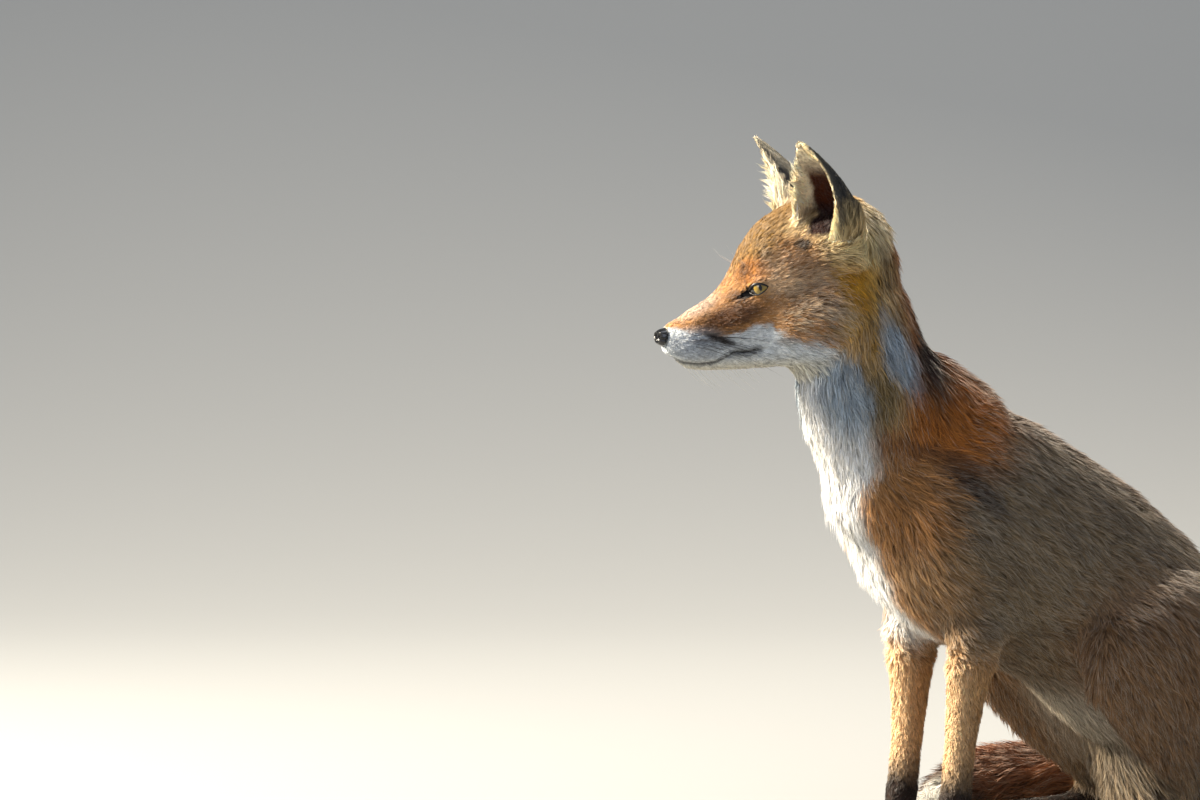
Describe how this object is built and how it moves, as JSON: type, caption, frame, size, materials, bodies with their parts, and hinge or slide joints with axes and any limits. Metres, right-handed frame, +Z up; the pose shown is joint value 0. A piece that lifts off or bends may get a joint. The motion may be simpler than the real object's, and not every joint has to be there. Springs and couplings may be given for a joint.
{
  "type": "red fox",
  "caption": "Life-size still model of a young red fox sitting upright on the floor, ears pricked, head turned slightly to its right.",
  "frame": {"origin": "on the floor, in the middle of the box round the whole animal", "axes": "-Y the way the chest faces, +X the fox's left, +Z up"},
  "size_m": [0.2806, 0.56, 0.5383],
  "materials": {
    "head": "short fur, red-brown above and white below",
    "nose": "moist black skin",
    "ear_left": "short dark fur outside, pale inside",
    "ear_right": "short dark fur outside, pale inside",
    "eye_left": "amber iris with a dark slit pupil",
    "eye_right": "amber iris with a dark slit pupil",
    "neck": "soft fur, white throat and red nape",
    "trunk": "full fur, red-brown back and white breast",
    "foreleg_left": "short fur",
    "foreleg_right": "short fur",
    "forepaw_left": "short dark fur",
    "forepaw_right": "short dark fur",
    "haunch_left": "full fur",
    "haunch_right": "full fur",
    "hind_foot_left": "short dark fur",
    "hind_foot_right": "short dark fur",
    "tail": "long bushy fur",
    "tail_tip": "long white fur"
  },
  "bodies": {
    "root": {"head": "head", "nose": "nose", "ear_left": "ear_left", "ear_right": "ear_right", "eye_left": "eye_left", "eye_right": "eye_right", "neck": "neck", "trunk": "trunk", "foreleg_left": "foreleg_left", "foreleg_right": "foreleg_right", "forepaw_left": "forepaw_left", "forepaw_right": "forepaw_right", "haunch_left": "haunch_left", "haunch_right": "haunch_right", "hind_foot_left": "hind_foot_left", "hind_foot_right": "hind_foot_right", "tail": "tail", "tail_tip": "tail_tip"}
  },
  "joints": []
}
